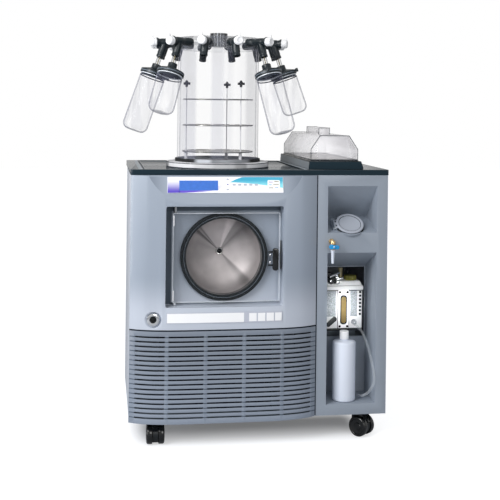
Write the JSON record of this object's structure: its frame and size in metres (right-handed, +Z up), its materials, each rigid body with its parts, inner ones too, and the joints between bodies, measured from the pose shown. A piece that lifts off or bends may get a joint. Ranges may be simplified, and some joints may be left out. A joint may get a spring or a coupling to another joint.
{
  "type": "laboratory freeze dryer",
  "caption": "Wheeled console freeze dryer with a bowed front, cold chamber behind a clear door, pump niche, clear drying drum with flask valves, and a covered shell freezing bath.",
  "frame": {"origin": "middle of the bounding box on the floor, under the casters, with the oil hose left out", "axes": "+Z up, -Y out of the front with the chamber door, +X to the right towards the pump tower"},
  "size_m": [0.974, 0.652, 1.498],
  "materials": {
    "chassis": "satin",
    "cabinet": "satin",
    "tower": "satin",
    "worktop": "satin",
    "membrane": "satin",
    "trim": "satin",
    "chrome": "polished",
    "steel": "brushed",
    "rubber": "matt",
    "clear_plastic": "clear",
    "black_plastic": "gloss",
    "brass": "satin",
    "blue_plastic": "gloss",
    "pump": "satin",
    "white_plastic": "satin",
    "dark_plastic": "satin",
    "compressor": "gloss",
    "fins": "satin",
    "tread": "satin",
    "flask_glass": "clear"
  },
  "bodies": {
    "machine": {"front_grille": "cabinet", "manifold_top": "rubber", "chamber_shell": "steel", "drying_rack": "steel", "front_fascia": "cabinet", "tower_panel": "tower", "drain_hose": "clear_plastic", "chamber_gasket": "rubber", "condenser": "fins", "drum_base_plate": "steel", "flask_large_left": "flask_glass", "flask_small_left": "flask_glass", "flask_large_right": "flask_glass", "flask_small_right": "flask_glass", "vacuum_pump": "pump", "drum_gasket": "rubber", "flask_large_left_cap": "rubber", "flask_small_left_cap": "rubber", "flask_large_right_cap": "rubber", "flask_small_right_cap": "rubber", "oil_bottle": "white_plastic", "drum_wall": "clear_plastic", "drain_port": "chrome", "compressor": "compressor", "centre_plug": "black_plastic", "base_frame": "chassis", "worktop": "worktop", "bottle_cap": "white_plastic", "drain_valve": "brass", "cabinet_shell": "cabinet", "name_strip": "trim", "bath_tub": "steel", "bath_frame": "dark_plastic", "control_panel": "membrane"},
    "door": {"chamber_door": "clear_plastic", "door_handle": "black_plastic"},
    "trap_lid": {"trap_lid": "cabinet"},
    "drain_lever": {"drain_lever": "blue_plastic"},
    "bath_cover": {"bath_cover": "clear_plastic"},
    "fan": {"fan_rotor": "black_plastic"},
    "valve_knob_01": {"valve_knob_01": "white_plastic"},
    "valve_knob_02": {"valve_knob_02": "white_plastic"},
    "valve_knob_03": {"valve_knob_03": "white_plastic"},
    "valve_knob_04": {"valve_knob_04": "white_plastic"},
    "valve_knob_05": {"valve_knob_05": "white_plastic"},
    "valve_knob_06": {"valve_knob_06": "white_plastic"},
    "valve_knob_07": {"valve_knob_07": "white_plastic"},
    "valve_knob_08": {"valve_knob_08": "white_plastic"},
    "valve_knob_09": {"valve_knob_09": "white_plastic"},
    "valve_knob_10": {"valve_knob_10": "white_plastic"},
    "valve_knob_11": {"valve_knob_11": "white_plastic"},
    "valve_knob_12": {"valve_knob_12": "white_plastic"},
    "caster_front_left": {"caster_fork_front_left": "black_plastic"},
    "wheels_front_left": {"caster_wheels_front_left": "tread"},
    "caster_front_right": {"caster_fork_front_right": "black_plastic"},
    "wheels_front_right": {"caster_wheels_front_right": "tread"},
    "caster_back_left": {"caster_fork_back_left": "black_plastic"},
    "wheels_back_left": {"caster_wheels_back_left": "tread"},
    "caster_back_right": {"caster_fork_back_right": "black_plastic"},
    "wheels_back_right": {"caster_wheels_back_right": "tread"}
  },
  "joints": [
    {"name": "door_hinge", "type": "hinge", "parent": "machine", "child": "door", "pos_m": [-0.30205, -0.27982, 0.674], "axis": [0, 0, -1], "range_deg": [0, 110]},
    {"name": "trap_lid_hinge", "type": "hinge", "parent": "machine", "child": "trap_lid", "pos_m": [0.28795, -0.24173, 0.78643], "axis": [0, -0.809, -0.5878], "range_deg": [0, 95]},
    {"name": "drain_lever_turn", "type": "hinge", "parent": "machine", "child": "drain_lever", "pos_m": [0.27095, -0.31577, 0.712], "axis": [0, 1, 0], "range_deg": [0, 78]},
    {"name": "bath_cover_lift", "type": "slide", "parent": "machine", "child": "bath_cover", "axis": [0, 0, 1], "range_m": [0, 0.13]},
    {"name": "fan_spin", "type": "hinge", "parent": "machine", "child": "fan", "pos_m": [-0.12805, -0.16867, 0.2433], "axis": [0, 1, 0], "continuous": true},
    {"name": "valve_turn_01", "type": "hinge", "parent": "machine", "child": "valve_knob_01", "pos_m": [0.11605, -0.12079, 1.457], "axis": [0.9379, -0.3469, 0], "range_deg": [0, 90]},
    {"name": "valve_turn_02", "type": "hinge", "parent": "machine", "child": "valve_knob_02", "pos_m": [0.03948, -0.22894, 1.457], "axis": [0.6388, -0.7694, 0], "range_deg": [0, 90]},
    {"name": "valve_turn_03", "type": "hinge", "parent": "machine", "child": "valve_knob_03", "pos_m": [-0.08092, -0.28431, 1.457], "axis": [0.1685, -0.9857, 0], "range_deg": [0, 90]},
    {"name": "valve_turn_04", "type": "hinge", "parent": "machine", "child": "valve_knob_04", "pos_m": [-0.21287, -0.27207, 1.457], "axis": [-0.3469, -0.9379, 0], "range_deg": [0, 90]},
    {"name": "valve_turn_05", "type": "hinge", "parent": "machine", "child": "valve_knob_05", "pos_m": [-0.32102, -0.1955, 1.457], "axis": [-0.7694, -0.6388, 0], "range_deg": [0, 90]},
    {"name": "valve_turn_06", "type": "hinge", "parent": "machine", "child": "valve_knob_06", "pos_m": [-0.37639, -0.0751, 1.457], "axis": [-0.9857, -0.1685, 0], "range_deg": [0, 90]},
    {"name": "valve_turn_07", "type": "hinge", "parent": "machine", "child": "valve_knob_07", "pos_m": [-0.36415, 0.05685, 1.457], "axis": [-0.9379, 0.3469, 0], "range_deg": [0, 90]},
    {"name": "valve_turn_08", "type": "hinge", "parent": "machine", "child": "valve_knob_08", "pos_m": [-0.28758, 0.165, 1.457], "axis": [-0.6388, 0.7694, 0], "range_deg": [0, 90]},
    {"name": "valve_turn_09", "type": "hinge", "parent": "machine", "child": "valve_knob_09", "pos_m": [-0.16718, 0.22037, 1.457], "axis": [-0.1685, 0.9857, 0], "range_deg": [0, 90]},
    {"name": "valve_turn_10", "type": "hinge", "parent": "machine", "child": "valve_knob_10", "pos_m": [-0.03523, 0.20813, 1.457], "axis": [0.3469, 0.9379, 0], "range_deg": [0, 90]},
    {"name": "valve_turn_11", "type": "hinge", "parent": "machine", "child": "valve_knob_11", "pos_m": [0.07292, 0.13156, 1.457], "axis": [0.7694, 0.6388, 0], "range_deg": [0, 90]},
    {"name": "valve_turn_12", "type": "hinge", "parent": "machine", "child": "valve_knob_12", "pos_m": [0.12829, 0.01116, 1.457], "axis": [0.9857, 0.1685, 0], "range_deg": [0, 90]},
    {"name": "swivel_front_left", "type": "hinge", "parent": "machine", "child": "caster_front_left", "pos_m": [-0.36305, -0.21597, 0.085], "axis": [0, 0, 1], "continuous": true},
    {"name": "roll_front_left", "type": "hinge", "parent": "caster_front_left", "child": "wheels_front_left", "pos_m": [-0.36305, -0.24197, 0.0375], "axis": [1, 0, 0], "continuous": true},
    {"name": "swivel_front_right", "type": "hinge", "parent": "machine", "child": "caster_front_right", "pos_m": [0.38695, -0.21597, 0.085], "axis": [0, 0, 1], "continuous": true},
    {"name": "roll_front_right", "type": "hinge", "parent": "caster_front_right", "child": "wheels_front_right", "pos_m": [0.40366, -0.23589, 0.0375], "axis": [0.766, 0.6428, 0], "continuous": true},
    {"name": "swivel_back_left", "type": "hinge", "parent": "machine", "child": "caster_back_left", "pos_m": [-0.36305, 0.25603, 0.085], "axis": [0, 0, 1], "continuous": true},
    {"name": "roll_back_left", "type": "hinge", "parent": "caster_back_left", "child": "wheels_back_left", "pos_m": [-0.36305, 0.23003, 0.0375], "axis": [1, 0, 0], "continuous": true},
    {"name": "swivel_back_right", "type": "hinge", "parent": "machine", "child": "caster_back_right", "pos_m": [0.38695, 0.25603, 0.085], "axis": [0, 0, 1], "continuous": true},
    {"name": "roll_back_right", "type": "hinge", "parent": "caster_back_right", "child": "wheels_back_right", "pos_m": [0.38695, 0.23003, 0.0375], "axis": [1, 0, 0], "continuous": true}
  ]
}
